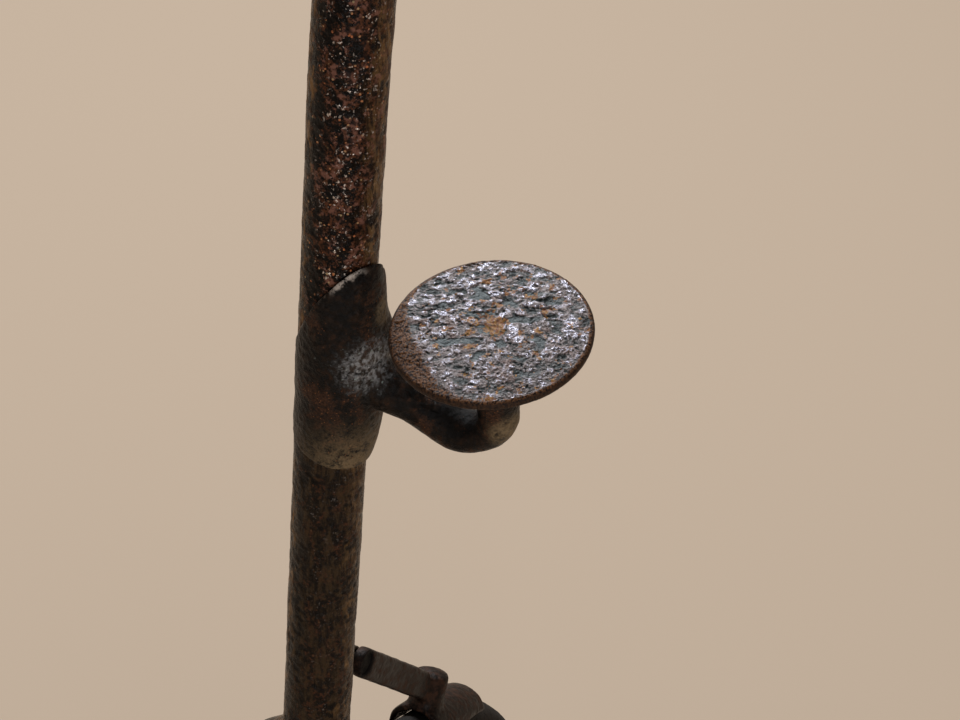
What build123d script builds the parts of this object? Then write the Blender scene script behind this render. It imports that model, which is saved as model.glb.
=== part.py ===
from build123d import *
from math import cos, radians, sin
import os

# Backbone unit of a high-wheel velocipede: all that lies behind the steering head.
# Millimetres. X runs forward, Y to the rider's left and Z up.
# The origin is the middle of the steering spindle's lower journal.

# Fits
fixed_fit = 0.05            # round gap of a piece that is pressed or brazed in
running_fit = 0.08          # round gap of a piece that turns
side_play = 0.4             # gap beside a piece that turns
plug_fit = 0.45             # a straight plug in the bent tube's end

# Steering spindle
steering_rake = 4.0         # the spindle leans back, in degrees
journal_radius = 8.0
journal_length = 14.0
journal_cone = 10.0         # length of the coned point beyond each journal
cone_tip_radius = 2.0
collar_radius = 13.0
collar_height = 5.0
spindle_radius = 10.0

# Neck
boss_radius = 15.5
boss_height = 50.0
neck_reach = 72.0           # spindle axis to the tube's top end, level
neck_rise = 24.0            # the spindle's crossing above the tube's top end
neck_ring = 1.6             # the ring against the tube's end stands out by this
neck_ring_width = 7.0
neck_plug_length = 14.0
spring_seat_radius = 10.5
spring_seat_rise = 18.0     # above the neck's middle line
spring_seat_lean = 20.0     # degrees
spring_seat_share = 0.46    # place along the neck, from the tube
spring_hole_radius = 4.2

# Backbone tube
tube_top_radius = 18.4
tube_bottom_radius = 13.45
tube_wall = 1.6
tube_top_slope = 10.0       # the top end's slope above level, in degrees
bend_radius = 690.0
lower_lean = 8.3            # the straight stretch leans forward, in degrees
straight_length = 293.0
bend_sections = 7

# Mounting step
step_place = 218.7          # plate's height, along the tube from its lower end
step_reach = 62.5           # plate's middle from the tube's axis
plate_radius = 37.6
plate_edge = 3.4
plate_crown = 2.4           # rise of the domed top over its edge
plate_edge_round = 1.3
plate_droop_back = 4.9      # degrees
plate_rise_out = 2.1
sleeve_top_drop = 13.7      # oblique top edge, on the axis, below the plate
sleeve_top_slope = 59.5     # degrees
sleeve_foot_drop = 73.7
sleeve_foot_slope = 17.0
sleeve_turn = 25.0          # the long side looks this far back from the step's side
arm_radius = 7.8
arm_root_radius = 12.5
arm_root_length = 36.0      # tube's axis to the end of the root's taper
arm_root_drop = 36.0        # below the plate, at the tube's axis
arm_elbow_drop = 68.3       # below the plate, at the elbow's corner
arm_elbow_radius = 14.0
arm_boss_radius = 9.8
step_tenon_radius = 4.5
step_tenon_head_radius = 6.5
step_tenon_head = 2.0       # depth of its countersink
step_tenon_depth = 14.0
step_tenon_proud = 0.3

# Trailing wheel
wheel_radius = 185.0
tyre_radius = 10.5
rim_wall = 2.7
rim_half_angle = 68.0       # how far the rim's lips come round the tyre, in degrees
spoke_count = 20
spoke_radius = 1.6
spoke_foot = 3.0            # spoke's end beside the rim's middle line
spoke_seat_radius = 18.0    # spoke's inner end in the hub's flange
axle_ahead = 3.0            # axle ahead of the tube's lower end, level
axle_below = 242.0          # axle below the tube's lower end

# Hub and axle
axle_radius = 4.75
hub_barrel_radius = 13.0
hub_flange_radius = 24.0
hub_flange_width = 5.0
hub_flange_place = 17.5     # flange's middle from the wheel's middle
hub_half_length = 23.0
hub_mouth_radius = 9.5
hub_mouth_floor = 6.4
hub_mouth_depth = 6.5
cone_flange_radius = 10.5
cone_flange_width = 3.5
cone_gap = 0.15             # bearing cone within the hub's mouth
nut_radius = 9.4
nut_width = 8.0
washer_radius = 10.5
washer_width = 1.6
axle_proud = 5.0            # axle's end beyond its nut

# Fork
fork_end_width = 7.0
fork_eye_radius = 14.0
fork_slot_fit = 0.25
fork_end_rise = 16.0        # blade's end above the axle
crown_height = 31.0
crown_shoulder_height = 15.0
crown_half_width = 29.5
crown_depth = 27.0
crown_corner = 6.0
crown_plug_length = 18.0
crown_arch_radius = 17.0
crown_arch_drop = 8.0       # arch's middle below the crown's underside
blade_top_depth = 26.0
blade_top_thickness = 9.6
blade_end_depth = 18.0
blade_bow = 6.0             # the blades' backward bow
blade_sections = 4
blade_corner = 0.42         # share of the blade's thickness

# Brake
brake_place = 10.2          # lug's line leaves the tube's axis here, above its lower end
brake_slope = 12.0          # slope of the lug below level, in degrees
lug_reach = 38.6            # pivot from the tube's axis, along that slope
lug_width = 6.0
lug_height = 11.0
brake_pin_radius = 3.5
brake_pin_head_radius = 4.6
brake_pin_head = 1.2
pin_recess_radius = 4.9     # the head lies sunk in the arm's right side
pin_recess = 2.4
brake_arm_depth = 12.8
brake_arm_width = 6.0
brake_angle = 28.5          # arm's boss ahead of the wheel's top, in degrees
brake_gap = 0.5             # shoe to tyre, brake on
brake_release = 1.2         # degrees from there to the place of rest, brake off
shoe_wall = 3.0
shoe_length = 54.0
shoe_width = 25.0
shoe_ahead = 19.0           # shoe's middle ahead of the boss
shoe_boss_radius = 7.8
shoe_boss_height = 14.0
shoe_rivet_radius = 3.5
shoe_rivet_head_radius = 5.2
shoe_rivet_head = 1.2

standing = (Align.CENTER, Align.CENTER, Align.MIN)


def level(ahead, up, left=0.0):
    """A point or a way: ahead, up and to the left."""
    return Vector(ahead, left, up)


def lean(angle):
    """The way up along a line that leans back from upright, in degrees."""
    return level(-sin(radians(angle)), cos(radians(angle)))


def slope(angle):
    """The way forward along a line that rises above level, in degrees."""
    return level(cos(radians(angle)), sin(radians(angle)))


def across(point, direction):
    """A plane square to a line of the machine's middle plane, with Y as its first axis."""
    return Plane(origin=point, x_dir=(0, 1, 0), z_dir=direction)


def turned(outline, place):
    """A turned piece from its half outline of (radius, height) points."""
    half = make_face(Polyline(*[(radius, 0, height) for radius, height in outline], close=True))
    return place * revolve(half, Axis.Z)


def bar(start, end, radius, end_radius=None):
    """A round bar between two points, tapered if it has a second radius."""
    along = end - start
    place = Plane(origin=start, z_dir=along)
    if end_radius is None:
        return place * Cylinder(radius, along.length, align=standing)
    return place * Cone(radius, end_radius, along.length, align=standing)


# Places along the spindle and the backbone
spindle_up = lean(steering_rake)
boss_foot = journal_length / 2 + collar_height
boss_top = boss_foot + boss_height
crossing = spindle_up * (boss_foot + boss_height / 2)
tube_top = crossing - level(neck_reach, neck_rise)
bend_centre = tube_top - lean(tube_top_slope) * bend_radius
bend_turn = 90 - tube_top_slope - lower_lean
tube_length = bend_radius * radians(bend_turn) + straight_length
tube_up = lean(-lower_lean)


def bend_point(angle):
    """The tube's axis in the bend, by the degrees turned from its top end."""
    return bend_centre + lean(tube_top_slope + angle) * bend_radius


tube_foot = bend_point(bend_turn) - tube_up * straight_length


def tube_radius(from_foot):
    """The tube's outer radius, by the distance along it from its lower end."""
    return tube_bottom_radius + (tube_top_radius - tube_bottom_radius) * from_foot / tube_length


def tube_point(from_foot):
    """The straight stretch's axis, by the distance from the lower end."""
    return tube_foot + tube_up * from_foot


def straight_cone(extra, start, end):
    """The straight stretch between two heights, larger by extra all round."""
    return bar(tube_point(start), tube_point(end), tube_radius(start) + extra, tube_radius(end) + extra)


def tube_body(extra):
    """The whole tapered tube as a solid, larger by extra all round."""
    rings = []
    for index in range(bend_sections):
        angle = bend_turn * index / (bend_sections - 1)
        radius = tube_radius(tube_length - bend_radius * radians(angle)) + extra
        rings.append(across(bend_point(angle), slope(tube_top_slope + angle)) * Circle(radius))
    return loft(rings) + straight_cone(extra, 0, straight_length)


parts = {}

# Steering spindle: journals with coned points, and a collar under the neck's boss
spindle_place = across(level(0, 0), spindle_up)
spindle_top = boss_top + journal_length
parts["steering_spindle"] = turned(
    [
        (0, -journal_length / 2 - journal_cone),
        (cone_tip_radius, -journal_length / 2 - journal_cone),
        (journal_radius, -journal_length / 2),
        (journal_radius, journal_length / 2),
        (collar_radius, journal_length / 2),
        (collar_radius, boss_foot),
        (spindle_radius, boss_foot),
        (spindle_radius, boss_top),
        (journal_radius, boss_top),
        (journal_radius, spindle_top),
        (cone_tip_radius, spindle_top + journal_cone),
        (0, spindle_top + journal_cone),
    ],
    spindle_place,
)

# Neck: a forging from the tube's end to the spindle's boss
neck_sections = [
    # share of the reach, share of the rise, slope, radius
    (0.0, 0.0, tube_top_slope, tube_top_radius),
    (0.3, 0.22, 19.0, 15.6),
    (0.65, 0.64, 22.0, 13.6),
    (1.0, 1.0, 14.0, 14.0),
]
neck_rings = []
for reach_share, rise_share, angle, radius in neck_sections:
    middle = tube_top + level(neck_reach * reach_share, neck_rise * rise_share)
    neck_rings.append(across(middle, slope(angle)) * Circle(radius))
neck = loft(neck_rings)
neck_way = slope(tube_top_slope)
neck += bar(tube_top, tube_top + neck_way * neck_ring_width, tube_top_radius + neck_ring)
neck += bar(tube_top - neck_way * neck_plug_length, tube_top, tube_top_radius - tube_wall - plug_fit)
neck += bar(spindle_up * boss_foot, spindle_up * boss_top, boss_radius)
seat_middle = tube_top + level(neck_reach, neck_rise) * spring_seat_share
seat_up = lean(spring_seat_lean)
seat_top = seat_middle + seat_up * spring_seat_rise
neck += bar(seat_middle, seat_top, spring_seat_radius)
neck -= bar(seat_middle - seat_up * 2 * spring_seat_rise, seat_top + seat_up, spring_hole_radius)
neck -= bar(level(0, 0), spindle_up * (boss_top + 1), spindle_radius + fixed_fit)
parts["neck"] = neck

# Backbone: a tapered tube that follows the driving wheel
parts["backbone_tube"] = tube_body(0) - tube_body(-tube_wall)

# Mounting step
step_middle = tube_point(step_place)
tube_ahead = slope(-lower_lean)
step_out = Vector(0, -1, 0)
plate_up = Vector(-sin(radians(plate_droop_back)), sin(radians(plate_rise_out)), 1).normalized()
plate_depth = plate_crown + plate_edge


def in_step(out, up):
    """A point of the step, out from the tube's axis and up along the tube from the plate."""
    return step_middle + step_out * out + tube_up * up


# Its bracket: a sleeve round the tube with a slanting top edge, forged in one with the arm
sleeve_sections = [
    # up along the tube from the plate, wall on the step's side, wall on the far side
    (18.0, 0.7, 0.3),
    (-18.0, 4.6, 0.25),
    (-50.0, 4.4, 0.25),
    (-86.0, 0.8, 0.3),
]
sleeve_rings = []
for up, near_wall, far_wall in sleeve_sections:
    radius = tube_radius(step_place + up) + (near_wall + far_wall) / 2
    sleeve_rings.append(across(in_step((near_wall - far_wall) / 2, up), tube_up) * Circle(radius))
tube_in_step = straight_cone(fixed_fit, step_place + sleeve_sections[-1][0], step_place + sleeve_sections[0][0])
sleeve = loft(sleeve_rings) - tube_in_step
long_side = step_out * cos(radians(sleeve_turn)) - tube_ahead * sin(radians(sleeve_turn))
top_normal = tube_up * cos(radians(sleeve_top_slope)) - long_side * sin(radians(sleeve_top_slope))
foot_normal = tube_up * cos(radians(sleeve_foot_slope)) + long_side * sin(radians(sleeve_foot_slope))
sleeve = split(sleeve, Plane(origin=in_step(0, -sleeve_top_drop), z_dir=top_normal), keep=Keep.BOTTOM)
sleeve = split(sleeve, Plane(origin=in_step(0, -sleeve_foot_drop), z_dir=foot_normal), keep=Keep.TOP)
plate_middle = in_step(step_reach, 0)
arm_line = FilletPolyline(
    in_step(0, -arm_root_drop),
    plate_middle - plate_up * arm_elbow_drop,
    plate_middle,
    radius=arm_elbow_radius,
)
arm_root = arm_line @ 0
arm_way = arm_line % 0
arm = sweep(Plane(origin=arm_root, z_dir=arm_way) * Circle(arm_radius), arm_line)
arm += bar(arm_root, arm_root + arm_way * arm_root_length, arm_root_radius, arm_radius)
elbow_top = plate_middle - plate_up * (arm_elbow_drop - 1.4 * arm_elbow_radius)
arm += bar(elbow_top, plate_middle, arm_radius, arm_boss_radius)
arm -= tube_in_step
arm = split(arm, Plane(origin=plate_middle - plate_up * plate_depth, z_dir=plate_up), keep=Keep.BOTTOM)
tenon_foot = plate_middle - plate_up * step_tenon_depth
bracket = sleeve + arm
bracket -= bar(tenon_foot, plate_middle, step_tenon_radius + fixed_fit)
parts["step_bracket"] = bracket

# Its plate: a domed disc, held by a tenon that is hammered over in a countersink
plate_place = Plane(origin=plate_middle, x_dir=(1, 0, 0), z_dir=plate_up)
dome_radius = (plate_radius**2 + plate_crown**2) / (2 * plate_crown)


def dome_point(radius):
    """A point of the plate's domed top."""
    return (radius, 0, (dome_radius**2 - radius**2) ** 0.5 - dome_radius)


hole_radius = step_tenon_radius + fixed_fit
mouth_radius = step_tenon_head_radius + fixed_fit
plate_half = make_face(
    Curve()
    + ThreePointArc(dome_point(mouth_radius), dome_point(plate_radius / 2), dome_point(plate_radius))
    + Polyline(dome_point(plate_radius), (plate_radius, 0, -plate_depth), (hole_radius, 0, -plate_depth))
    + Polyline((hole_radius, 0, -plate_depth), (hole_radius, 0, -step_tenon_head), dome_point(mouth_radius))
)
plate_half = fillet(plate_half.vertices().group_by(Axis.X)[-1], plate_edge_round)
parts["step_plate"] = plate_place * revolve(plate_half, Axis.Z)
parts["step_rivet"] = turned(
    [
        (0, -step_tenon_depth),
        (step_tenon_radius, -step_tenon_depth),
        (step_tenon_radius, -step_tenon_head),
        (step_tenon_head_radius, 0),
        (0, step_tenon_proud),
    ],
    plate_place,
)

# Trailing wheel, about its own axis: local Z is the machine's left
wheel_centre = tube_foot + level(axle_ahead, -axle_below)
wheel_place = Plane(origin=wheel_centre, x_dir=(1, 0, 0), z_dir=(0, 1, 0))
tyre_ring = wheel_radius - tyre_radius
parts["tyre"] = wheel_place * Torus(tyre_ring, tyre_radius)


def round_tyre(radius, angle):
    """A point beside the tyre's section, by its angle from the outward way."""
    return (tyre_ring + radius * cos(radians(angle)), 0, radius * sin(radians(angle)))


rim_seat = tyre_radius + fixed_fit
rim_back = rim_seat + rim_wall
lip = 180 - rim_half_angle
rim_section = make_face(
    Curve()
    + ThreePointArc(round_tyre(rim_seat, lip), round_tyre(rim_seat, 180), round_tyre(rim_seat, -lip))
    + Line(round_tyre(rim_seat, -lip), round_tyre(rim_back, -lip))
    + ThreePointArc(round_tyre(rim_back, -lip), round_tyre(rim_back, 180), round_tyre(rim_back, lip))
    + Line(round_tyre(rim_back, lip), round_tyre(rim_seat, lip))
)
rim = revolve(rim_section, Axis.Z)

# Spokes: each flange in turn, screwed into its edge and headed in the rim
spoke_end = tyre_ring - rim_seat - side_play
spokes = []
spoke_holes = []
for index in range(spoke_count):
    side = 1 if index % 2 == 0 else -1
    turn = 360 * index / spoke_count
    outward = Vector(cos(radians(turn)), sin(radians(turn)), 0)
    start = outward * spoke_seat_radius + Vector(0, 0, side * hub_flange_place)
    end = outward * spoke_end + Vector(0, 0, side * spoke_foot)
    spokes.append(bar(start, end, spoke_radius))
    spoke_holes.append(bar(start, end + (end - start).normalized() * rim_wall, spoke_radius + fixed_fit))
parts["rim"] = wheel_place * (rim - spoke_holes)
parts["spokes"] = wheel_place * Compound(children=spokes)

# Hub: a barrel with two flanges, and a coned mouth at each end
hub_bore = axle_radius + running_fit
hub_side = [
    (hub_barrel_radius, hub_flange_place - hub_flange_width / 2),
    (hub_flange_radius, hub_flange_place - hub_flange_width / 2),
    (hub_flange_radius, hub_flange_place + hub_flange_width / 2),
    (hub_barrel_radius, hub_flange_place + hub_flange_width / 2),
    (hub_barrel_radius, hub_half_length),
    (hub_mouth_radius, hub_half_length),
    (hub_mouth_floor, hub_half_length - hub_mouth_depth),
    (hub_bore, hub_half_length - hub_mouth_depth),
]
hub_outline = hub_side + [(radius, -height) for radius, height in reversed(hub_side)]
hub = turned(hub_outline, Plane.XY) - spoke_holes
parts["hub"] = wheel_place * hub

# Axle with its bearing cones, washers and nuts, and the slotted fork ends
fork_inner = hub_half_length + side_play + cone_flange_width
fork_outer = fork_inner + fork_end_width
nut_inner = fork_outer + washer_width
axle_half = nut_inner + nut_width + axle_proud
parts["axle"] = wheel_place * Cylinder(axle_radius, 2 * axle_half)
sides = (("left", 1), ("right", -1))
for name, side in sides:
    cone = [
        (axle_radius + fixed_fit, fork_inner),
        (cone_flange_radius, fork_inner),
        (cone_flange_radius, hub_half_length + side_play),
        (hub_mouth_radius - cone_gap, hub_half_length + side_play),
        (hub_mouth_floor - cone_gap, hub_half_length - hub_mouth_depth + side_play),
        (axle_radius + fixed_fit, hub_half_length - hub_mouth_depth + side_play),
    ]
    parts[f"axle_cone_{name}"] = turned([(radius, side * height) for radius, height in cone], wheel_place)
    hole = Cylinder(axle_radius + fixed_fit, 4 * axle_half)
    washer = Pos(0, 0, side * (fork_outer + washer_width / 2)) * Cylinder(washer_radius, washer_width)
    parts[f"axle_washer_{name}"] = wheel_place * (washer - hole)
    nut = Pos(0, 0, side * (nut_inner + nut_width / 2)) * extrude(
        RegularPolygon(nut_radius, 6), nut_width / 2, both=True
    )
    parts[f"axle_nut_{name}"] = wheel_place * (nut - hole)
    eye = Cylinder(fork_eye_radius, fork_end_width)
    eye += Pos(0, -fork_end_rise / 2, 0) * Box(blade_end_depth, fork_end_rise, fork_end_width)
    slot_radius = axle_radius + fork_slot_fit
    eye -= Cylinder(slot_radius, fork_end_width)
    eye -= Pos(0, fork_eye_radius / 2, 0) * Box(2 * slot_radius, fork_eye_radius, fork_end_width)
    eye = Pos(0, 0, side * (fork_inner + fork_end_width / 2)) * eye
    parts[f"fork_end_{name}"] = wheel_place * eye

# Fork crown: plugged into the tube, shouldered out to the blades and arched over the tyre
crown_up = across(tube_foot, tube_up)
crown = loft(
    [
        crown_up * Circle(tube_bottom_radius + 1),
        across(tube_point(-crown_shoulder_height), tube_up)
        * RectangleRounded(2 * crown_half_width, crown_depth, crown_corner),
    ]
)
crown += extrude(
    across(tube_point(-crown_height), tube_up)
    * RectangleRounded(2 * crown_half_width, crown_depth, crown_corner),
    crown_height - crown_shoulder_height,
)
arch_middle = tube_point(-crown_height - crown_arch_drop)
crown -= bar(arch_middle - tube_ahead * crown_depth, arch_middle + tube_ahead * crown_depth, crown_arch_radius)
crown += bar(tube_foot, tube_point(crown_plug_length), tube_bottom_radius - tube_wall - fixed_fit)
parts["fork_crown"] = crown

# Fork blades: flat-sided bars that taper and spread towards their ends
blade_top = tube_point(-crown_height)
blade_end = wheel_centre + level(0, fork_end_rise)
for name, side in sides:
    sections = []
    for index in range(blade_sections):
        share = index / (blade_sections - 1)
        thickness = blade_top_thickness + (fork_end_width - blade_top_thickness) * share
        depth = blade_top_depth + (blade_end_depth - blade_top_depth) * share
        top_spread = crown_half_width - blade_top_thickness / 2
        spread = top_spread + (fork_inner + fork_end_width / 2 - top_spread) * share
        middle = blade_top + (blade_end - blade_top) * share
        middle -= level(4 * blade_bow * share * (1 - share), 0)
        middle += level(0, 0, side * spread)
        outline = RectangleRounded(thickness, depth, thickness * blade_corner)
        sections.append(across(middle, lean(-lower_lean * (1 - share))) * outline)
    parts[f"fork_blade_{name}"] = loft(sections)

# Brake lug: a tongue that stands out of the tube's front, to the left of the arm
pivot = tube_point(brake_place) + slope(-brake_slope) * lug_reach
lug_plane = Plane(origin=pivot, x_dir=slope(-brake_slope), z_dir=(0, 1, 0))
lug_side = brake_arm_width / 2 + side_play
lug = Pos(-lug_reach / 2, 0, 0) * Box(lug_reach, lug_height, lug_width) + Cylinder(lug_height / 2, lug_width)
lug -= Cylinder(brake_pin_radius + fixed_fit, lug_width)
lug = lug_plane * Pos(0, 0, lug_side + lug_width / 2) * lug
tube_near_lug = straight_cone(fixed_fit, 0, brake_place + 3 * lug_height)
behind = Plane(origin=tube_point(brake_place), z_dir=tube_ahead)
parts["brake_lug"] = split(lug, behind, keep=Keep.TOP) - tube_near_lug
pin_foot = -brake_arm_width / 2 + pin_recess - brake_pin_head
parts["brake_pin"] = turned(
    [
        (0, pin_foot),
        (brake_pin_head_radius, pin_foot),
        (brake_pin_head_radius, pin_foot + brake_pin_head - fixed_fit),
        (brake_pin_radius, pin_foot + brake_pin_head - fixed_fit),
        (brake_pin_radius, lug_side + lug_width),
        (0, lug_side + lug_width),
    ],
    lug_plane,
)

# The brake's moving pieces are laid out against the tyre, then swung to their place of rest
brake_hinge = Axis(pivot, (0, 1, 0))


def released(shape):
    """A piece of the brake, swung off the tyre."""
    return shape.rotate(brake_hinge, -brake_release)


# Brake arm: a flat bar with an eye on the pin and a boss that sits on the shoe
shoe_way = lean(-brake_angle)
shoe_inner = tyre_radius + brake_gap
shoe_outer = shoe_inner + shoe_wall
boss_low = wheel_centre + shoe_way * tyre_ring
boss_high = wheel_centre + shoe_way * (tyre_ring + shoe_outer + shoe_boss_height)
arm_end = wheel_centre + shoe_way * (tyre_ring + shoe_outer + brake_arm_depth / 2)
arm_plane = Plane(origin=pivot, x_dir=arm_end - pivot, z_dir=(0, 1, 0))
brake_arm_length = (arm_end - pivot).length
brake_arm = Pos(brake_arm_length / 2, 0, 0) * Box(brake_arm_length, brake_arm_depth, brake_arm_width)
brake_arm += Cylinder(brake_arm_depth / 2, brake_arm_width)
brake_arm -= Cylinder(brake_pin_radius + running_fit, brake_arm_width)
brake_arm -= Pos(0, 0, (pin_recess - brake_arm_width) / 2) * Cylinder(pin_recess_radius, pin_recess)
brake_arm = arm_plane * brake_arm
brake_arm += bar(boss_low, boss_high, shoe_boss_radius)
brake_arm -= bar(boss_high, boss_high + shoe_way * brake_arm_depth, shoe_boss_radius)
brake_arm -= wheel_place * Torus(tyre_ring, shoe_outer + fixed_fit)
brake_arm -= bar(boss_low, boss_high, shoe_rivet_radius + fixed_fit)
parts["brake_arm"] = released(brake_arm)

# Brake shoe: a spoon that follows the tyre, riveted to the arm's boss
spoon = wheel_place * (Torus(tyre_ring, shoe_outer) - Torus(tyre_ring, shoe_inner))
shoe_plane = Plane(origin=boss_low, x_dir=(0, 1, 0), z_dir=shoe_way)
spoon &= shoe_plane * Pos(0, -shoe_ahead, 0) * Box(shoe_width, shoe_length, shoe_outer + 1, align=standing)
spoon -= bar(boss_low, boss_high, shoe_rivet_radius + fixed_fit)
parts["brake_shoe"] = released(spoon)
rivet_foot = wheel_centre + shoe_way * (tyre_ring + shoe_inner + fixed_fit)
rivet = bar(rivet_foot, boss_high, shoe_rivet_radius)
rivet += bar(boss_high, boss_high + shoe_way * shoe_rivet_head, shoe_rivet_head_radius, shoe_rivet_radius)
parts["brake_rivet"] = released(rivet)

os.makedirs("parts", exist_ok=True)
for name, shape in parts.items():
    export_step(shape, f"parts/{name}.step")
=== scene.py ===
import math

import bmesh
import bpy
from mathutils import Matrix, Vector, noise


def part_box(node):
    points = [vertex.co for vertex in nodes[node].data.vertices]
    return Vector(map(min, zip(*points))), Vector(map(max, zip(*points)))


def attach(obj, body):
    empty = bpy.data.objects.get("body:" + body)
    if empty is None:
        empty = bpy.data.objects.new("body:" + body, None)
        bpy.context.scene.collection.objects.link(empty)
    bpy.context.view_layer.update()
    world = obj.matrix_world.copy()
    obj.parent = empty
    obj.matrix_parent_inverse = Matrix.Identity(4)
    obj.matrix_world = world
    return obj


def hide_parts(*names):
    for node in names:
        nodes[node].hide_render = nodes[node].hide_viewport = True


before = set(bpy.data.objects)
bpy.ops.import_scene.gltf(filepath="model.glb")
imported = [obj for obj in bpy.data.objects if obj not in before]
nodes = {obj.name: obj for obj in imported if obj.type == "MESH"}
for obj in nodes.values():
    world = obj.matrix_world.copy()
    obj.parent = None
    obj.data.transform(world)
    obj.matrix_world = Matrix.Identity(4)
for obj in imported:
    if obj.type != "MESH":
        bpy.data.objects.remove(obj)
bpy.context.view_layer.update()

# Backbone: a tapered iron tube, bent to follow the driving wheel and brazed to its neck and
# its fork. Its black enamel has flaked off over brown rust and close, shallow pits.
mm = 0.001
tube_foot = Vector((-679.833, 0, -856.933)) * mm
bend_centre = Vector((45.236, 0, -666.607)) * mm
bend_radius = 690 * mm
straight_length = 293 * mm
lower_lean = math.radians(8.3)
tube_top_slope = math.radians(10)
bend_turn = math.pi / 2 - tube_top_slope - lower_lean
tube_length = straight_length + bend_radius * bend_turn
tube_bottom_radius = 13.45 * mm
tube_top_radius = 18.4 * mm
tube_up = Vector((math.sin(lower_lean), 0, math.cos(lower_lean)))
tube_back = Vector((-math.cos(lower_lean), 0, math.sin(lower_lean)))


def tube_radius(along):
    """The tapered tube's radius at a distance from its foot."""
    return tube_bottom_radius + (tube_top_radius - tube_bottom_radius) * along / tube_length


def paint(red, green, blue):
    """A colour as a screen shows it, from 0 to 255, as the shader's own numbers."""
    colour = []
    for level in (red / 255, green / 255, blue / 255):
        colour.append(level / 12.92 if level <= 0.04045 else ((level + 0.055) / 1.055) ** 2.4)
    return [*colour, 1.0]


class Wire:
    """A value that changes over a surface. Arithmetic on it adds Math nodes."""

    def __init__(self, finish, socket):
        self.finish = finish
        self.socket = socket

    def __add__(self, other):
        return self.finish.maths("ADD", self, other)

    def __sub__(self, other):
        return self.finish.maths("SUBTRACT", self, other)

    def __rsub__(self, other):
        return self.finish.maths("SUBTRACT", other, self)

    def __mul__(self, other):
        return self.finish.maths("MULTIPLY", self, other)

    __radd__ = __add__
    __rmul__ = __mul__


class Finish:
    """A material in the making. Sizes of patterns are in millimetres, and places in metres."""

    def __init__(self, title):
        self.material = bpy.data.materials.new(title)
        self.material.use_nodes = True
        self.tree = self.material.node_tree
        self.tree.nodes.clear()
        self.place = self.node("ShaderNodeTexCoord", output="Object")

    def node(self, kind, settings=None, inputs=None, output=0):
        """Any node: its settings first, then the values or links of its sockets."""
        made = self.tree.nodes.new(kind)
        for name, value in (settings or {}).items():
            setattr(made, name, value)
        for name, value in (inputs or {}).items():
            if isinstance(value, Wire):
                self.tree.links.new(value.socket, made.inputs[name])
            else:
                made.inputs[name].default_value = value
        return Wire(self, made.outputs[output])

    def maths(self, operation, first, second):
        """One Math node."""
        return self.node("ShaderNodeMath", {"operation": operation}, {0: first, 1: second})

    def measure(self, operation, vector):
        """One Vector Math node that makes a number of the surface's place and a vector."""
        inputs = {0: self.place, 1: vector}
        return self.node("ShaderNodeVectorMath", {"operation": operation}, inputs, output="Value")

    def away(self, point):
        """The distance from a point, in metres."""
        return self.measure("DISTANCE", point)

    def past(self, point, way):
        """How far the surface lies past a point in one direction, in metres."""
        return self.measure("DOT_PRODUCT", way) - way.dot(point)

    def stretched(self, x, y, z):
        """The surface's place, with a pattern drawn out along an axis."""
        return self.node("ShaderNodeMapping", {}, {"Vector": self.place, "Scale": (1 / x, 1 / y, 1 / z)})

    def grain(self, size, detail=4.0, rough=0.55, place=None):
        """Cloudy noise, mostly between 0.3 and 0.7."""
        return self.node(
            "ShaderNodeTexNoise",
            {},
            {"Vector": place or self.place, "Scale": 1 / (size * mm), "Detail": detail, "Roughness": rough},
        )

    def cells(self, size, feature="F1"):
        """The distance from the nearest of scattered points, or from the lines between them."""
        return self.node(
            "ShaderNodeTexVoronoi", {"feature": feature}, {"Vector": self.place, "Scale": 1 / (size * mm)}
        )

    def rise(self, value, low, high):
        """From 0 at low to 1 at high, and smooth between."""
        return self.node(
            "ShaderNodeMapRange",
            {"interpolation_type": "SMOOTHSTEP"},
            {"Value": value, "From Min": low, "From Max": high},
        )

    def blend(self, share, first, second):
        """The first colour where the share is 0, and the second where it is 1."""
        return self.node("ShaderNodeMix", {"data_type": "RGBA"}, {0: share, 6: first, 7: second}, output=2)

    def stored(self, title):
        """A share that a piece's mesh stores at each of its points."""
        return self.node("ShaderNodeAttribute", {"attribute_name": title}, {}, output="Fac")

    def bump(self, height, depth):
        """A fine height of that depth in millimetres."""
        return self.node("ShaderNodeBump", {}, {"Height": height, "Distance": depth * mm})

    def show(self, shader):
        """Link a finished shader to the material's output."""
        self.node("ShaderNodeOutputMaterial", {}, {"Surface": shader}, output=slice(0, 0))
        return self.material

    def surface(self, **inputs):
        """Finish the material with one principled shader."""
        named = {name.replace("_", " "): value for name, value in inputs.items()}
        return self.show(self.node("ShaderNodeBsdfPrincipled", {}, named))


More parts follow.
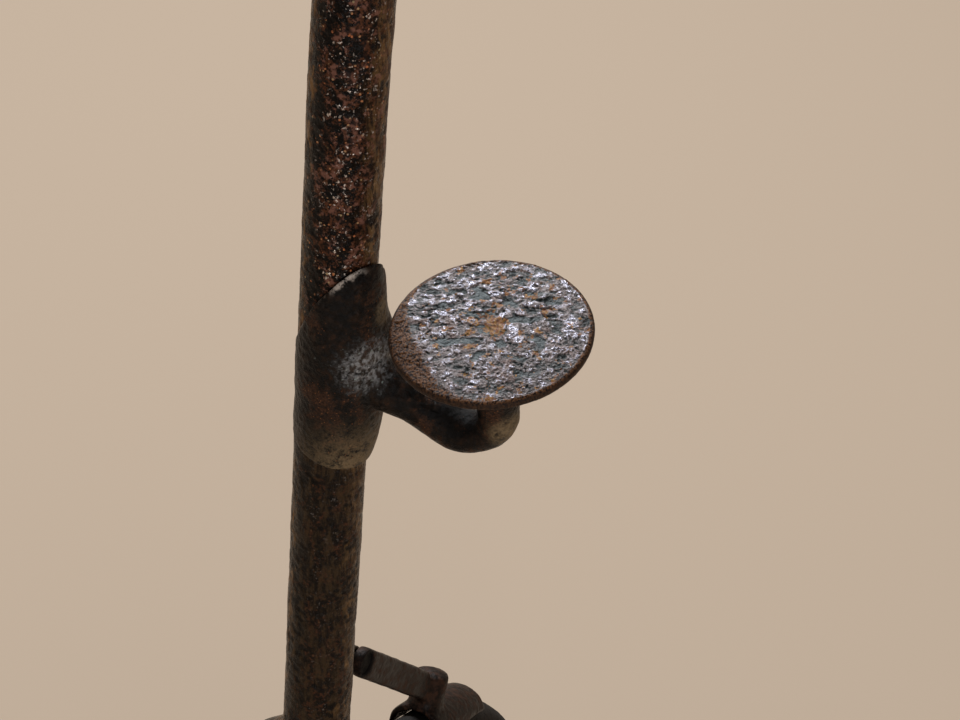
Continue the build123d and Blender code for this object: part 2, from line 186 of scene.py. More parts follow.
def old_enamel():
    """Black enamel over rusted iron, with painted reflections in dusty brown-olive down both long edges.

    It is dustier below the step. Less of the left side is bare or bright.
    """
    iron = Finish("old_enamel")
    flakes = iron.grain(6.5, 6.0, 0.68)
    grit = iron.grain(1.2, 4.0, 0.68)
    hollow = iron.stored("relief")
    left, high = iron.measure("DOT_PRODUCT", (0, 1, 0)), iron.measure("DOT_PRODUCT", (0, 0, 1))
    low = iron.rise(high, -650 * mm, -700 * mm)
    # Towards the left side the tube keeps more black enamel and has fewer bright specks.
    left_side_share = iron.rise(left + (flakes - 0.5) * (20 * mm), -2 * mm, 5 * mm)
    gone = iron.rise(flakes + (grit - 0.5) * 0.25 - left_side_share * 0.05 - low * 0.04, 0.46, 0.55)
    rust = iron.blend(iron.rise(grit, 0.42, 0.58), paint(20, 11, 7), paint(88, 52, 33))
    pink = iron.rise(iron.grain(4.5, 5.0, 0.7), 0.5, 0.58) * (1 - low)
    rust = iron.blend(pink, rust, paint(122, 82, 68))
    enamel = iron.blend(iron.rise(grit, 0.5, 0.7), paint(6, 4, 4), paint(44, 29, 18))
    colour = iron.blend(gone, enamel, rust)
    streaks = iron.grain(2.2, 5.0, 0.65, iron.stretched(1, 1, 5))
    ragged = left + ((streaks - 0.5) * (12 * mm) + (flakes - 0.5) * (16 * mm))
    # Painted reflection of the pale surround: a brown-olive band down each long edge of the tube.
    sides = iron.maths(
        "MAXIMUM", iron.rise(ragged, 6 * mm, 12 * mm), iron.rise(ragged, -10.5 * mm, -15.5 * mm)
    )
    film = sides * (0.35 + iron.rise(streaks * 0.5 + flakes * 0.5, 0.4, 0.55) * 0.6)
    film = iron.maths("MAXIMUM", film, low * (0.3 + iron.rise(streaks, 0.36, 0.6) * 0.5))
    above_crown = iron.rise(high, -870 * mm, -845 * mm)
    below_bend = iron.rise(high, -300 * mm, -500 * mm)
    film = film * above_crown * below_bend
    # The colour of the painted edge reflections, and of the dust below the step.
    dust = iron.blend(iron.rise(streaks, 0.42, 0.62), paint(50, 30, 15), paint(140, 104, 64))
    dust = iron.blend(low * (1 - sides) * 0.85, dust, paint(31, 25, 18))
    colour = iron.blend(film, colour, dust)
    loose = (1 - film) * (1 - low * 0.8)
    specks = iron.rise(iron.cells(2.2) + (grit - 0.5) * 0.35, 0.26, 0.17)
    specks = specks * iron.rise(iron.grain(6.0, 3.0), 0.48, 0.56) * loose
    speck_colour = iron.blend(iron.rise(grit, 0.45, 0.55), paint(188, 112, 70), paint(170, 150, 112))
    colour = iron.blend(specks, colour, speck_colour)
    colour = iron.blend(iron.rise(hollow, 0.2, 0.7) * 0.85, colour, paint(8, 6, 6))
    bright = iron.rise(iron.grain(1.3, 2.5, 0.6), 0.6, 0.67) * iron.rise(iron.grain(7.0, 2.0), 0.47, 0.58)
    bright = bright * loose * (1 - left_side_share * 0.8)
    return iron.surface(
        Base_Color=iron.blend(bright, colour, paint(222, 208, 198)),
        Metallic=bright * 0.9,
        Roughness=0.2 + gone * 0.2 + film * 0.1,
        Normal=iron.bump(iron.cells(3.0) * 0.5 + grit * 0.5 + flakes * 0.6, 0.85),
        Specular_IOR_Level=0.1,
    )


def clamped(value):
    """A number, kept between 0 and 1."""
    return min(1.0, max(0.0, value))


def seal(bm):
    """Merge a mesh's doubled points, close its open ends and turn its faces outwards."""
    bmesh.ops.remove_doubles(bm, verts=bm.verts, dist=0.01 * mm)
    bmesh.ops.holes_fill(bm, edges=bm.edges, sides=0)
    bmesh.ops.recalc_face_normals(bm, faces=bm.faces)


def corrode(bm, swell, swell_size, pit, pit_size, seed):
    """Wear a surface as rust does, with broad swells and scattered pits, in millimetres."""
    bm.normal_update()
    relief = bm.verts.layers.float.new("relief")
    cluster_size = 4.5 * pit_size
    pit_reach = 0.62
    for vert in bm.verts:
        place = vert.co / mm + Vector((seed, 0, 0))
        broad = noise.fractal(place / swell_size, 1.0, 2.0, 3)
        cluster = clamped(0.6 + 1.6 * noise.noise(place / cluster_size))
        nearest = noise.voronoi(place / pit_size)[0][0]
        hollow = cluster * max(0.0, 1 - nearest / pit_reach)
        vert[relief] = clamped(1.5 * hollow)
        vert.co += vert.normal * (swell * broad - pit * hollow) * mm


def fit_piece(title, bm, body, slot, material, *replaced):
    """Set a finished mesh into the scene on its body, in place of its CAD nodes."""
    mesh = bpy.data.meshes.new(title)
    bm.to_mesh(mesh)
    bm.free()
    mesh.shade_smooth()
    mesh.materials.append(material)
    piece = bpy.data.objects.new(title, mesh)
    bpy.context.scene.collection.objects.link(piece)
    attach(piece, body)
    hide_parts(*replaced)


enamelled_iron = old_enamel()
tube_steps_along = 1000
tube_steps_round = 88
crowding = 0.38  # the rows lie closer together towards the tube's foot
bm = bmesh.new()
bmesh.ops.create_grid(bm, x_segments=tube_steps_round, y_segments=tube_steps_along, size=1)
for vert in bm.verts:
    turn = math.pi * (vert.co.x + 1)
    share = (vert.co.y + 1) / 2
    along = tube_length * ((1 - crowding) * share + crowding * share**3)
    radius = tube_radius(along)
    if along < straight_length:
        middle = tube_foot + tube_up * along
        back = tube_back
    else:
        angle = math.pi / 2 - lower_lean - (along - straight_length) / bend_radius
        back = Vector((-math.sin(angle), 0, math.cos(angle)))
        middle = bend_centre + back * bend_radius
    vert.co = middle + back * radius * math.cos(turn) + Vector((0, radius * math.sin(turn), 0))
seal(bm)
corrode(bm, swell=0.22, swell_size=14, pit=0.45, pit_size=3.0, seed=0)
fit_piece("backbone", bm, "frame", "frame_iron", enamelled_iron, "backbone_tube")

# Neck: an iron forging plugged into the tube's top end. Its boss holds the steering spindle,
# and the raised seat on its back takes the saddle spring's bolt.


def worn_copy(names, voxel, rounds, core=None):
    """CAD pieces as one skin of even squares, their edges worn round and their joints filleted.

    A core is a mesh that is fused in with them and used up.
    """
    bm = core or bmesh.new()
    for name in names:
        bm.from_mesh(nodes[name].data)
    bmesh.ops.remove_doubles(bm, verts=bm.verts, dist=0.001 * mm)
    mesh = bpy.data.meshes.new("blank")
    bm.to_mesh(mesh)
    bm.clear()
    blank = bpy.data.objects.new("blank", mesh)
    bpy.context.scene.collection.objects.link(blank)
    skin = blank.modifiers.new("Skin", "REMESH")
    skin.mode = "VOXEL"
    skin.voxel_size = voxel * mm
    bpy.context.view_layer.update()
    even = bpy.data.meshes.new_from_object(blank.evaluated_get(bpy.context.evaluated_depsgraph_get()))
    bm.from_mesh(even)
    bpy.data.objects.remove(blank)
    bpy.data.meshes.remove(mesh)
    bpy.data.meshes.remove(even)
    for _ in range(rounds):
        bmesh.ops.smooth_vert(
            bm, verts=bm.verts, factor=0.5, use_axis_x=True, use_axis_y=True, use_axis_z=True
        )
    return bm


bm = worn_copy(["neck"], voxel=0.85, rounds=3)
corrode(bm, swell=0.2, swell_size=11, pit=0.25, pit_size=3.0, seed=40)
fit_piece("neck_forging", bm, "frame", "frame_iron", enamelled_iron, "neck")

# Steering spindle: turned steel, pressed through the neck's boss. Its coned ends and its
# journals have worn smooth in their bearings and have since browned.


def dull_steel():
    """Turned steel that has browned: fine turning marks, stains and a little rust."""
    steel = Finish("dull_steel")
    stains = steel.grain(9, 4.0)
    fine = steel.grain(0.6, 3.0, 0.6)
    marks = steel.grain(0.5, 2.0, 0.5, steel.stretched(12, 12, 1))
    rusty = steel.rise(stains, 0.5, 0.64)
    colour = steel.blend(steel.rise(marks, 0.3, 0.7), paint(96, 88, 82), paint(138, 128, 120))
    return steel.surface(
        Base_Color=steel.blend(rusty, colour, paint(84, 56, 42)),
        Metallic=0.95 - rusty * 0.75,
        Roughness=0.36 + rusty * 0.34,
        Normal=steel.bump(fine * 0.6 + marks * 0.4 + stains * 0.5, 0.12),
    )


def repaint(names, material):
    """Give CAD pieces that keep their own shape a finish."""
    for name in names:
        for slot in nodes[name].material_slots:
            slot.material = material


browned_steel = dull_steel()
repaint(["steering_spindle"], browned_steel)

# Step bracket: a sleeve round the tube with a slanting top edge, forged in one with the arm
# that carries the step. It is brazed on, and thick enamel still lies in its corners.
step_height = 218.7 * mm
step_middle = tube_foot + tube_up * step_height
sleeve_low, sleeve_high = -86 * mm, 18 * mm
sleeve_proud = 0.12 * mm
sleeve_turn = math.radians(25)
long_side = Vector((0, -1, 0)) * math.cos(sleeve_turn) + tube_back * math.sin(sleeve_turn)
top_drop, top_angle = 13.7 * mm, math.radians(59.5)
tongue_drop, tongue_angle = 73.7 * mm, math.radians(17)
top_edge = step_middle - tube_up * top_drop
top_slope = tube_up * math.cos(top_angle) - long_side * math.sin(top_angle)
tongue_edge = step_middle - tube_up * tongue_drop
tongue_slope = -tube_up * math.cos(tongue_angle) - long_side * math.sin(tongue_angle)
core = bmesh.new()
bmesh.ops.create_cone(
    core,
    cap_ends=True,
    segments=72,
    radius1=tube_radius(step_height + sleeve_low) + sleeve_proud,
    radius2=tube_radius(step_height + sleeve_high) + sleeve_proud,
    depth=sleeve_high - sleeve_low,
)
core_place = Matrix.Translation(step_middle + tube_up * (sleeve_low + sleeve_high) / 2)
bmesh.ops.transform(core, matrix=core_place @ Matrix.Rotation(lower_lean, 4, "Y"), verts=core.verts)
for place, slope in ((top_edge, top_slope), (tongue_edge, tongue_slope)):
    cut = bmesh.ops.bisect_plane(
        core,
        geom=[*core.verts, *core.edges, *core.faces],
        plane_co=place,
        plane_no=slope,
        clear_outer=True,
    )
    cut_edges = [item for item in cut["geom_cut"] if isinstance(item, bmesh.types.BMEdge)]
    bmesh.ops.edgeloop_fill(core, edges=cut_edges)
bmesh.ops.recalc_face_normals(core, faces=core.faces)
sleeve_foot = step_middle - tube_up * 80 * mm + long_side * 14 * mm
sleeve_side = Vector((-647.8, -22.5, -650.0)) * mm
# Where the painted highlight on the sleeve's top edge is brightest.
edge_glint_spot = Vector((-658.5, -10.3, -632.8)) * mm
arm_root = step_middle - tube_up * 29 * mm + Vector((-0.35, -0.94, 0)) * 17 * mm
elbow_nook = Vector((-644.5, -51.0, -692.0)) * mm
elbow_end = Vector((-648.0, -71.0, -690.0)) * mm


def brazed_iron():
    """The bracket: smooth dark enamel, brown where gone; a painted sheen and painted glints at the arm's
    root.

    Tan dirt clings to the sleeve's foot, its side and the arm's end; the top edge has painted highlights.
    """
    iron = Finish("brazed_iron")
    patches = iron.grain(17, 5.0, 0.6)
    flakes = iron.grain(3.8, 5.0, 0.66)
    fine = iron.grain(0.8, 4.0, 0.65)
    gone = iron.rise(patches * 0.55 + flakes * 0.45, 0.5, 0.6)
    enamel = iron.blend(iron.rise(flakes, 0.4, 0.66), paint(7, 5, 5), paint(38, 25, 16))
    rust = iron.blend(iron.rise(fine, 0.4, 0.6), paint(38, 24, 17), paint(74, 48, 33))
    colour = iron.blend(gone, enamel, rust)
    specks = iron.rise(iron.cells(1.4), 0.2, 0.1) * iron.rise(patches, 0.48, 0.6)
    colour = iron.blend(specks, colour, paint(140, 90, 56))
    colour = iron.blend(iron.rise(iron.stored("relief"), 0.25, 0.9) * 0.7, colour, paint(12, 9, 8))
    from_root = iron.away(arm_root)
    # Painted reflection: a pale, cloudy grey sheen on the enamel at the arm's root.
    painted_root_sheen = iron.rise(from_root + (flakes - 0.5) * (30 * mm), 14.5 * mm, 3 * mm)
    painted_root_sheen = painted_root_sheen * iron.rise(fine * 0.3 + flakes * 0.7, 0.36, 0.56)
    cloudy = iron.rise(iron.grain(2.6, 4.0, 0.6), 0.4, 0.6)
    colour = iron.blend(painted_root_sheen * 0.8, colour, iron.blend(cloudy, paint(88, 76, 68), paint(206, 206, 208)))
    # Painted glints: small pale metallic specks near the arm's root.
    glint = iron.rise(iron.grain(1.6, 2.5, 0.6), 0.63, 0.7)
    glint = glint * iron.rise(from_root + (patches - 0.5) * (50 * mm), 15 * mm, 7 * mm)
    colour = iron.blend(glint * 0.7, colour, paint(160, 172, 170))
    foot_film = iron.rise(iron.away(sleeve_foot) + flakes * (20 * mm), 42 * mm, 14 * mm)
    side_film = iron.rise(iron.away(sleeve_side) + flakes * (4 * mm), 10.5 * mm, 7.5 * mm)
    end_film = iron.rise(iron.away(elbow_end) + flakes * (10 * mm), 16.5 * mm, 10.5 * mm)
    film = iron.maths("MAXIMUM", iron.maths("MAXIMUM", foot_film, side_film), end_film)
    film = film * iron.rise(flakes * 0.6 + fine * 0.4, 0.36, 0.6)
    colour = iron.blend(film * 0.85, colour, paint(138, 117, 88))
    # Painted shade: the arm's elbow under the step, darkened and dulled.
    nook_shade = iron.rise(iron.away(elbow_nook), 14 * mm, 7 * mm)
    colour = iron.blend(nook_shade * 0.7, colour, paint(8, 6, 5))
    # Painted highlights on the sleeve's top edge: a pale band, and a brighter streak near the middle.
    past_edge = iron.past(top_edge, top_slope) + (flakes - 0.5) * (4 * mm)
    worn = iron.rise(past_edge, -1.8 * mm, -0.6 * mm) * iron.rise(iron.grain(6.0, 4.0), 0.46, 0.6)
    colour = iron.blend(worn * 0.7, colour, paint(128, 116, 106))
    edge_glint = iron.rise(iron.away(edge_glint_spot), 9 * mm, 4 * mm)
    edge_glint = edge_glint * iron.rise(past_edge, -2.6 * mm, -1 * mm)
    edge_glint = edge_glint * iron.rise(fine * 0.5 + flakes * 0.5, 0.42, 0.5)
    colour = iron.blend(edge_glint * 0.9, colour, paint(196, 184, 174))
    return iron.surface(
        Base_Color=colour,
        Metallic=painted_root_sheen * 0.4 + edge_glint * 0.3 + glint * 0.6,
        Roughness=0.32 + gone * 0.2 + film * 0.2 + painted_root_sheen * 0.05 + nook_shade * 0.4,
        Normal=iron.bump(iron.cells(2.4) * 0.5 + fine * 0.4 + flakes * 0.6, 1.2),
        Specular_IOR_Level=0.13,
    )


bracket_iron = brazed_iron()
bm = worn_copy(["step_bracket"], voxel=0.6, rounds=9, core=core)
view_right = Vector((0.449, -0.893, 0))
view_far = Vector((0.893, 0.449, 0))
# The smith's uneven places, in millimetres: where each is, how far it reaches and its push.
root_swelling = (Vector((-643.5, -17.0, -666.5)), 8.5, view_right * 3.7)
sleeve_swelling = (Vector((-650.0, -14.7, -703.5)), 12, view_right * 1.8)
arm_sag = (Vector((-650.0, -42.0, -711.0)), 15, Vector((-0.2, 0, -2.4)))
for middle, reach, push in (root_swelling, sleeve_swelling, arm_sag):
    for vert in bm.verts:
        apart = (vert.co / mm - middle).length / reach
        if apart < 2.5:
            vert.co += push * mm * math.exp(-apart * apart)
corrode(bm, swell=0.3, swell_size=12, pit=0.28, pit_size=3.2, seed=90)
fit_piece("bracket_forging", bm, "frame", "frame_iron", bracket_iron, "step_bracket")

# Step: a round iron plate, slightly domed and riveted over in the middle. Its top has rusted
# into overlapping flakes and pits that shoes have rubbed bright; its rim is brown.
plate_radius = 37.6 * mm
plate_crown = 2.4 * mm
plate_edge = 3.4 * mm
rim_rounding = 1.3 * mm
shoulder = plate_radius - rim_rounding
arm_reach = 62.5 * mm
back_tilt, side_tilt = math.radians(4.9), math.radians(2.1)
plate_middle = step_middle + Vector((0, -arm_reach, 0))
plate_up = Vector((-math.sin(back_tilt), math.sin(side_tilt), 1)).normalized()
plate_steps = 280
rim_steps = 10


def pitted_iron():
    """Bare iron: grey ridges with a hard shine, dark hollows, ochre spots and a brown rim."""
    iron = Finish("pitted_iron")
    hollow = iron.stored("relief")
    clouds = iron.grain(9, 4.0, 0.6)
    lumps = iron.grain(1.5, 4.0, 0.62)
    grit = iron.grain(0.9, 3.0, 0.7)
    rubbed = iron.rise(hollow, 0.54, 0.38) * iron.rise(iron.grain(3.0, 4.0, 0.65), 0.46, 0.54)
    skin = iron.blend(iron.rise(grit, 0.4, 0.6), paint(84, 76, 74), paint(142, 130, 128))
    skin = iron.blend(iron.rise(clouds, 0.5, 0.62) * 0.7, skin, paint(112, 92, 86))
    skin = iron.blend(iron.rise(hollow, 0.46, 0.72), skin, paint(44, 49, 49))
    skin = iron.blend(iron.stored("calm") * 0.85, skin, paint(78, 85, 86))
    metal = iron.blend(rubbed, skin, paint(150, 148, 158))
    # Painted shadow: near-black specks for the small pits.
    metal = iron.blend(iron.rise(grit, 0.57, 0.65) * 0.8, metal, paint(30, 26, 25))
    from_middle = iron.away(plate_middle)
    ochre = iron.grain(4.2, 4.0, 0.6) + iron.rise(from_middle, 34 * mm, 2 * mm) * 0.05
    ragged = from_middle + (clouds - 0.5) * (20 * mm) + (lumps - 0.5) * (10 * mm)
    ochre = iron.maths("MAXIMUM", iron.rise(ochre, 0.6, 0.65), iron.rise(ragged, 5.6 * mm, 4.4 * mm))
    ochre = ochre * iron.rise(grit, 0.66, 0.5)
    ochre_colour = iron.blend(iron.rise(lumps, 0.4, 0.6), paint(140, 88, 56), paint(176, 132, 74))
    metal = iron.blend(ochre, metal, ochre_colour)
    brown = iron.blend(iron.rise(grit, 0.42, 0.58), paint(28, 14, 8), paint(128, 86, 54))
    height = iron.past(plate_middle, plate_up)
    side = iron.rise(height + (lumps - 0.5) * mm, -2.1 * mm, -3 * mm)
    brown = iron.blend(side * 0.8, brown, paint(30, 18, 12))
    rim = iron.stored("edge") + (lumps - 0.5) * 0.5 + (clouds - 0.5) * 0.3 + (grit - 0.5) * 0.3
    rim = iron.rise(rim, 0.4, 0.52)
    bare = (1 - rim) * (1 - ochre)
    return iron.surface(
        Base_Color=iron.blend(rim, metal, brown),
        Metallic=bare * (0.35 + rubbed * 0.6),
        Roughness=0.55 - bare * (0.14 + rubbed * 0.14),
        Normal=iron.bump(lumps * 0.9 + grit * 0.4, 0.75),
        Specular_IOR_Level=0.2,
    )


def rim_section(share):
    """The rim's radius and its drop, from the edge of the plate's top at 0 to the rim's foot at 1."""
    rounded, upright = 0.4, 0.7
    if share <= rounded:
        turn = share / rounded * math.pi / 2
        return shoulder + rim_rounding * math.sin(turn), rim_rounding * (1 - math.cos(turn))
    if share <= upright:
        flat_height = plate_edge - 2 * rim_rounding
        return plate_radius, rim_rounding + flat_height * (share - rounded) / (upright - rounded)
    turn = (share - upright) / (1 - upright) * math.pi / 2
    radius = plate_radius - rim_rounding * (1 - math.cos(turn))
    return radius, plate_edge - rim_rounding * (1 - math.sin(turn))


bm = bmesh.new()
bmesh.ops.create_grid(bm, x_segments=plate_steps, y_segments=plate_steps, size=1)
for vert in bm.verts:
    x, y, _ = vert.co
    vert.co = (x * math.sqrt(1 - y * y / 2), y * math.sqrt(1 - x * x / 2), 0)
bmesh.ops.scale(bm, vec=(shoulder, shoulder, 1), verts=bm.verts)
for vert in bm.verts:
    vert.co.z = -plate_crown * vert.co.xy.length_squared / plate_radius**2
ring = [edge for edge in bm.edges if edge.is_boundary]
for step in range(1, rim_steps + 1):
    grown = bmesh.ops.extrude_edge_only(bm, edges=ring)["geom"]
    ring = [item for item in grown if isinstance(item, bmesh.types.BMEdge) and item.is_boundary]
    radius, drop = rim_section(step / rim_steps)
    for vert in {vert for edge in ring for vert in edge.verts}:
        outer = vert.co.xy.normalized() * radius
        vert.co = (outer.x, outer.y, -plate_crown - drop)
bmesh.ops.recalc_face_normals(bm, faces=bm.faces)
bm.normal_update()
relief = bm.verts.layers.float.new("relief")
edge_share = bm.verts.layers.float.new("edge")
calm_share = bm.verts.layers.float.new("calm")
brown_way = Vector((-0.7, 0.71))
chip_size, crumb_size = (3.4, 2.6), (1.5, 1.2)
swell_size, calm_size, pit_size = (6.5, 3.6), (7, 4.5), (2.6, 2.1)
pit_reach = 0.42


def laid(spot, size, layer):
    """A place in a pattern with features of that width and depth, as the camera sees them."""
    return Vector((spot.dot(view_right) / size[0], spot.dot(view_far) / size[1], layer))


def facet(place, turning, tilt, lift):
    """The height of broken scale: each cell of a pattern is flat and leans its own way."""
    middle = noise.voronoi(place)[1][0]
    lean = noise.noise_vector(middle * turning)
    return tilt * lean.xy.dot((place - middle).xy) + lift * lean.z


noise.seed_set(4)  # without a seed, noise_vector takes its start from the clock
for vert in bm.verts:
    spot = vert.co / mm
    radial = vert.co.xy.length / plate_radius
    top = 1 - clamped((radial - 0.94) / 0.06)
    calm = clamped(6 * (noise.noise(laid(spot, calm_size, 2)) - 0.16)) * max(0.0, 1.15 - radial)
    bent = 0.5 * noise.noise_vector(spot / 1.7)
    chip = facet(laid(spot, chip_size, 0.3) + bent * 0.6, turning=7.3, tilt=0.9, lift=0.35)
    crumb = facet(laid(spot, crumb_size, 9.3) + bent, turning=5.1, tilt=0.45, lift=0.2)
    swell = noise.fractal(laid(spot, swell_size, 4.1), 0.8, 2.0, 3)
    nearest = noise.voronoi(laid(spot, pit_size, spot.z / 2) + bent)[0][0]
    pit = max(0.0, 1 - nearest / pit_reach) * clamped(0.5 + 2 * noise.noise(spot / 7))
    chip_share = 0.5 + 0.5 * clamped((0.85 - radial) / 0.3)
    far_share = 0.45 + 0.55 * clamped((spot.dot(view_far) + 12) / 22)
    rough = far_share * (0.5 * swell + chip_share * chip) + crumb
    height = top * (rough * (1 - 0.8 * calm) - 0.3 * calm - 0.5 * pit)
    height += (1 - top) * 0.25 * crumb + 0.1 * noise.noise(spot / 6)
    brown_side = max(0.0, vert.co.xy.dot(brown_way) / max(vert.co.xy.length, mm)) ** 4
    vert[relief] = clamped(0.5 - 0.8 * height)
    vert[calm_share] = clamped(1.5 * calm)
    vert[edge_share] = clamped(0.5 + (radial - 0.96 + 0.2 * brown_side) / (0.1 + 0.4 * brown_side))
    vert.co += vert.normal * height * mm
bmesh.ops.edgeloop_fill(bm, edges=ring)
tilted = Vector((0, 0, 1)).rotation_difference(plate_up).to_matrix().to_4x4()
bmesh.ops.transform(bm, matrix=Matrix.Translation(plate_middle) @ tilted, verts=bm.verts)
fit_piece("step_top", bm, "frame", "step_iron", pitted_iron(), "step_plate", "step_rivet")

# Fork: a forged crown plugged into the tube's lower end, and two flat-sided blades that end
# in slotted eyes. The blades are brazed into the crown and enamelled with it.
bm = worn_copy(["fork_crown"], voxel=0.7, rounds=6)
corrode(bm, swell=0.25, swell_size=12, pit=0.25, pit_size=3.0, seed=130)
fit_piece("crown_forging", bm, "frame", "frame_iron", enamelled_iron, "fork_crown")
for side in ("left", "right"):
    names = [f"fork_blade_{side}", f"fork_end_{side}"]
    bm = worn_copy(names, voxel=0.62, rounds=5)
    corrode(bm, swell=0.2, swell_size=12, pit=0.22, pit_size=2.8, seed=170)
    fit_piece(f"blade_forging_{side}", bm, "frame", "frame_iron", enamelled_iron, *names)

# Trailing wheel: a hard rubber tyre cemented into a rolled iron rim, and straight spokes that
# screw into the hub's flanges. The rubber has hardened, dried and cracked.
wheel_centre = Vector((-676.833, 0, -1098.93)) * mm
wheel_radius = 185 * mm
tyre_radius = 10.5 * mm
tyre_steps_along = 560
tyre_steps_round = 48


def old_rubber():
    """Perished rubber: grey-brown and dusty, with a net of fine cracks in places."""
    rubber = Finish("old_rubber")
    dust = rubber.grain(18, 4.0, 0.6)
    fine = rubber.grain(0.8, 3.0, 0.6)
    crack = rubber.rise(rubber.cells(5.5, "DISTANCE_TO_EDGE") + (fine - 0.5) * 0.08, 0.07, 0.01)
    crack = crack * rubber.rise(rubber.grain(9, 2.0), 0.42, 0.56)
    colour = rubber.blend(rubber.rise(dust, 0.36, 0.64), paint(18, 15, 13), paint(40, 34, 29))
    colour = rubber.blend(rubber.rise(fine, 0.5, 0.72) * 0.5, colour, paint(58, 50, 42))
    return rubber.surface(
        Base_Color=rubber.blend(crack, colour, paint(18, 15, 14)),
        Roughness=0.8 + rubber.rise(dust, 0.4, 0.6) * 0.12,
        Normal=rubber.bump(fine * 0.4 + dust * 0.5 - crack * 0.6, 0.5),
        Specular_IOR_Level=0.2,
    )


ring_radius = wheel_radius - tyre_radius
bm = bmesh.new()
bmesh.ops.create_grid(bm, x_segments=tyre_steps_along, y_segments=tyre_steps_round, size=1)
for vert in bm.verts:
    turn, round_tyre = math.pi * vert.co.x, math.pi * vert.co.y
    from_hub = ring_radius + tyre_radius * math.cos(round_tyre)
    sideways = tyre_radius * math.sin(round_tyre)
    vert.co = wheel_centre + Vector((from_hub * math.sin(turn), sideways, from_hub * math.cos(turn)))
seal(bm)
corrode(bm, swell=0.3, swell_size=16, pit=0.2, pit_size=4.5, seed=210)
fit_piece("tyre_rubber_ring", bm, "trailing_wheel", "tyre_rubber", old_rubber(), "tyre")
pin_low, pin_high = (Vector(corner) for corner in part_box("brake_pin"))
pin_end = Vector(((pin_low.x + pin_high.x) / 2, pin_low.y, (pin_low.z + pin_high.z) / 2))


def rusted_iron():
    """Dark iron with a skin of brown rust, and painted shade, near black, round the brake's pin."""
    iron = Finish("rusted_iron")
    patches = iron.grain(15, 5.0, 0.6)
    flakes = iron.grain(3.6, 5.0, 0.66)
    fine = iron.grain(0.8, 4.0, 0.65)
    gone = iron.rise(patches * 0.45 + flakes * 0.55, 0.44, 0.6)
    dark = iron.blend(iron.rise(fine, 0.4, 0.65), paint(11, 7, 6), paint(36, 24, 18))
    rust = iron.blend(iron.rise(flakes, 0.38, 0.62), paint(25, 16, 11), paint(60, 39, 28))
    colour = iron.blend(gone, dark, rust)
    from_pin = iron.away(pin_end)
    # Painted shade: near black round the pin's head, sunk in the arm's side.
    pin_shade = iron.rise(from_pin + (fine - 0.5) * (3 * mm), 6.8 * mm, 4.8 * mm)
    return iron.surface(
        Base_Color=iron.blend(pin_shade, colour, paint(7, 5, 5)),
        Metallic=0.2 - gone * 0.2,
        Roughness=0.4 + gone * 0.28 + pin_shade * 0.3,
        Normal=iron.bump(iron.cells(2.2) * 0.3 + fine * 0.4 + flakes * 0.4, 0.35),
        Specular_IOR_Level=0.13,
    )


brown_iron = rusted_iron()
repaint(["rim", "spokes", "hub"], brown_iron)

# Axle: a steel pin through the hub, screwed at both ends. Coned bearings, washers and six-sided
# nuts hold it in the fork's eyes; spanners have rounded the nuts' corners.
repaint(["axle_cone_left", "axle_cone_right", "axle_washer_left", "axle_washer_right"], browned_steel)
for side in ("left", "right"):
    bm = worn_copy([f"axle_nut_{side}"], voxel=0.35, rounds=3)
    corrode(bm, swell=0.12, swell_size=5, pit=0.12, pit_size=1.8, seed=250)
    fit_piece(f"worn_nut_{side}", bm, "frame", "bearing_steel", browned_steel, f"axle_nut_{side}")
axle_radius = 4.75 * mm
thread_start, axle_half = 35.5 * mm, 48.5 * mm
thread_pitch, thread_depth = 1.25 * mm, 0.55 * mm
end_bevel = 0.3 * mm
core_radius = axle_radius - thread_depth
profile = [(0, -axle_half), (core_radius, -axle_half)]
for groove in range(int((axle_half - thread_start) / thread_pitch)):
    crest = axle_half - end_bevel - groove * thread_pitch
    profile += [(axle_radius, -crest), (core_radius, -crest + thread_pitch / 2)]
profile.append((axle_radius, -thread_start))
profile += [(radius, -along) for radius, along in reversed(profile)]
bm = bmesh.new()
verts = [bm.verts.new((radius, along, 0)) for radius, along in profile]
edges = [bm.edges.new(pair) for pair in zip(verts, verts[1:])]
bmesh.ops.spin(
    bm, geom=[*verts, *edges], cent=(0, 0, 0), axis=(0, 1, 0), angle=2 * math.pi, steps=40, use_merge=True
)
seal(bm)
bmesh.ops.translate(bm, vec=wheel_centre, verts=bm.verts)
fit_piece("screwed_axle", bm, "frame", "bearing_steel", browned_steel, "axle")

# Brake: a flat iron arm hinged on a lug on the tube, and a spoon that presses on the tyre.
# It is dark brown all over; the pin's head lies sunk in the arm's side.
bm = worn_copy(["brake_lug"], voxel=0.45, rounds=4)
corrode(bm, swell=0.15, swell_size=6, pit=0.15, pit_size=2.2, seed=290)
fit_piece("lug_forging", bm, "frame", "frame_iron", enamelled_iron, "brake_lug")
repaint(["brake_pin"], brown_iron)
brake_parts = ["brake_arm", "brake_rivet", "brake_shoe"]
bm = worn_copy(brake_parts, voxel=0.5, rounds=45)
corrode(bm, swell=0.2, swell_size=9, pit=0.2, pit_size=2.6, seed=330)
fit_piece("brake_forging", bm, "brake", "brake_iron", brown_iron, *brake_parts)

# Floor: a plain pale studio sweep under the wheel. The camera and glossy surfaces see its own
# colour, and it keeps the object's shadow.
floor_low = wheel_centre.z - wheel_radius
floor_half = 9


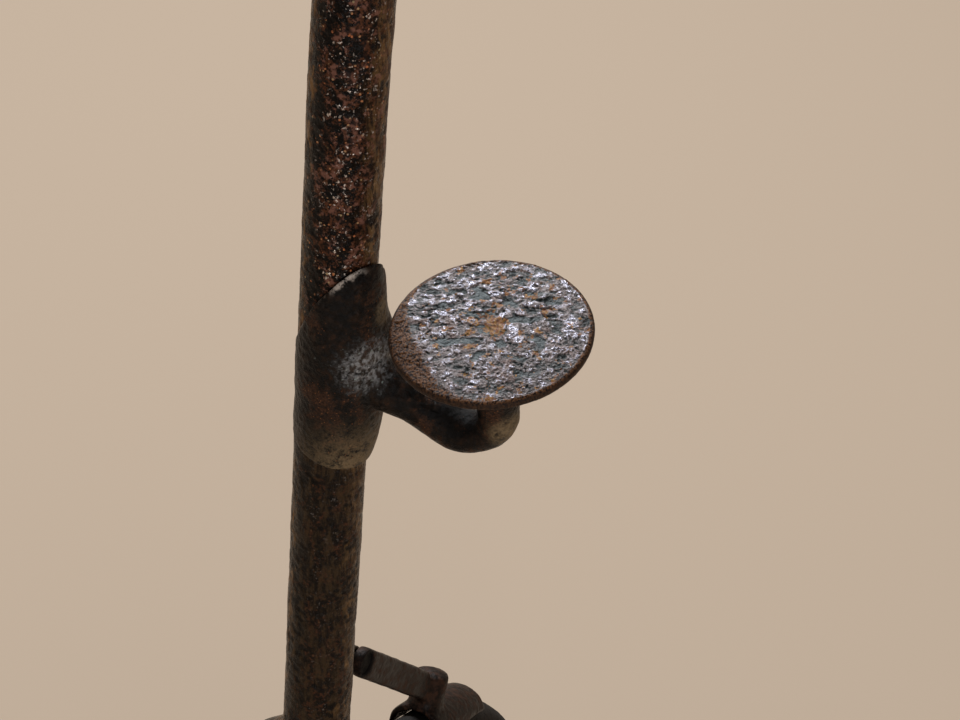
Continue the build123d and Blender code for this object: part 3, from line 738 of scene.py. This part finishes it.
def pale_sweep():
    """A warm pale floor, part of which glows for the camera and for glossy surfaces."""
    sweep = Finish("pale_sweep")
    colour = paint(194, 175, 155)
    matte = sweep.node("ShaderNodeBsdfDiffuse", {}, {"Color": colour})
    plain = sweep.node("ShaderNodeEmission", {}, {"Color": colour, "Strength": 1.0})
    kinds = ("Is Camera Ray", "Is Glossy Ray", "Is Transmission Ray")
    camera_ray, glossy_ray, clear_ray = (sweep.node("ShaderNodeLightPath", output=kind) for kind in kinds)
    glow = (camera_ray + glossy_ray + clear_ray) * 0.62
    return sweep.show(sweep.node("ShaderNodeMixShader", {}, {0: glow, 1: matte, 2: plain}))


bm = bmesh.new()
bmesh.ops.create_grid(bm, x_segments=1, y_segments=1, size=floor_half)
bmesh.ops.translate(bm, vec=(0, 0, floor_low), verts=bm.verts)
mesh = bpy.data.meshes.new("floor")
bm.to_mesh(mesh)
bm.free()
mesh.materials.append(pale_sweep())
floor = bpy.data.objects.new("floor", mesh)
bpy.context.scene.collection.objects.link(floor)

# Studio: a soft lamp ahead on the left and above, which the step's ridges catch, a weaker one
# behind on the right, and a warm surround that is brightest at the horizon and dim overhead.
world = bpy.data.worlds.new("surround")
world.use_nodes = True
sky = world.node_tree
view_way = sky.nodes.new("ShaderNodeTexCoord")
split = sky.nodes.new("ShaderNodeSeparateXYZ")
strength = sky.nodes.new("ShaderNodeMapRange")
strength.inputs["From Min"].default_value = 0.0
strength.inputs["From Max"].default_value = 0.9
strength.inputs["To Min"].default_value = 0.5
strength.inputs["To Max"].default_value = 0.14
sky.links.new(view_way.outputs["Generated"], split.inputs[0])
sky.links.new(split.outputs["Z"], strength.inputs["Value"])
sky.links.new(strength.outputs[0], sky.nodes["Background"].inputs["Strength"])
sky.nodes["Background"].inputs["Color"].default_value = paint(222, 208, 192)
bpy.context.scene.world = world
key_lamp = ("key_lamp", Vector((1.2, 0.82, 0.82)), 0.7, 36)
fill_lamp = ("fill_lamp", Vector((-1.6, -1.2, 0.6)), 0.6, 14)
for title, from_step, size, watts in (key_lamp, fill_lamp):
    lamp = bpy.data.lights.new(title, "AREA")
    lamp.size = size
    lamp.energy = watts
    lamp.color = paint(246, 250, 255)[:3]
    holder = bpy.data.objects.new(title, lamp)
    aimed = from_step.to_track_quat("Z", "Y").to_matrix().to_4x4()
    holder.matrix_world = Matrix.Translation(step_middle + from_step) @ aimed
    bpy.context.scene.collection.objects.link(holder)

# Camera: above and behind on the right, looking down at the step as the photograph does.
camera = bpy.data.cameras.new("camera")
camera.lens = 130.05
camera.sensor_width = 36
camera.clip_start = 0.05
viewer = bpy.data.objects.new("camera", camera)
eye = Vector((-1.4942, -0.4837, 0.1876))
ahead = Vector((0.666, 0.335, -0.6665)).normalized()
rightward = ahead.cross(Vector((0, 0, 1))).normalized()
upward = rightward.cross(ahead)
turned = Matrix((rightward, upward, -ahead)).transposed().to_4x4()
viewer.matrix_world = Matrix.Translation(eye) @ turned
bpy.context.scene.collection.objects.link(viewer)
bpy.context.scene.camera = viewer
bpy.context.scene.view_settings.view_transform = "Standard"
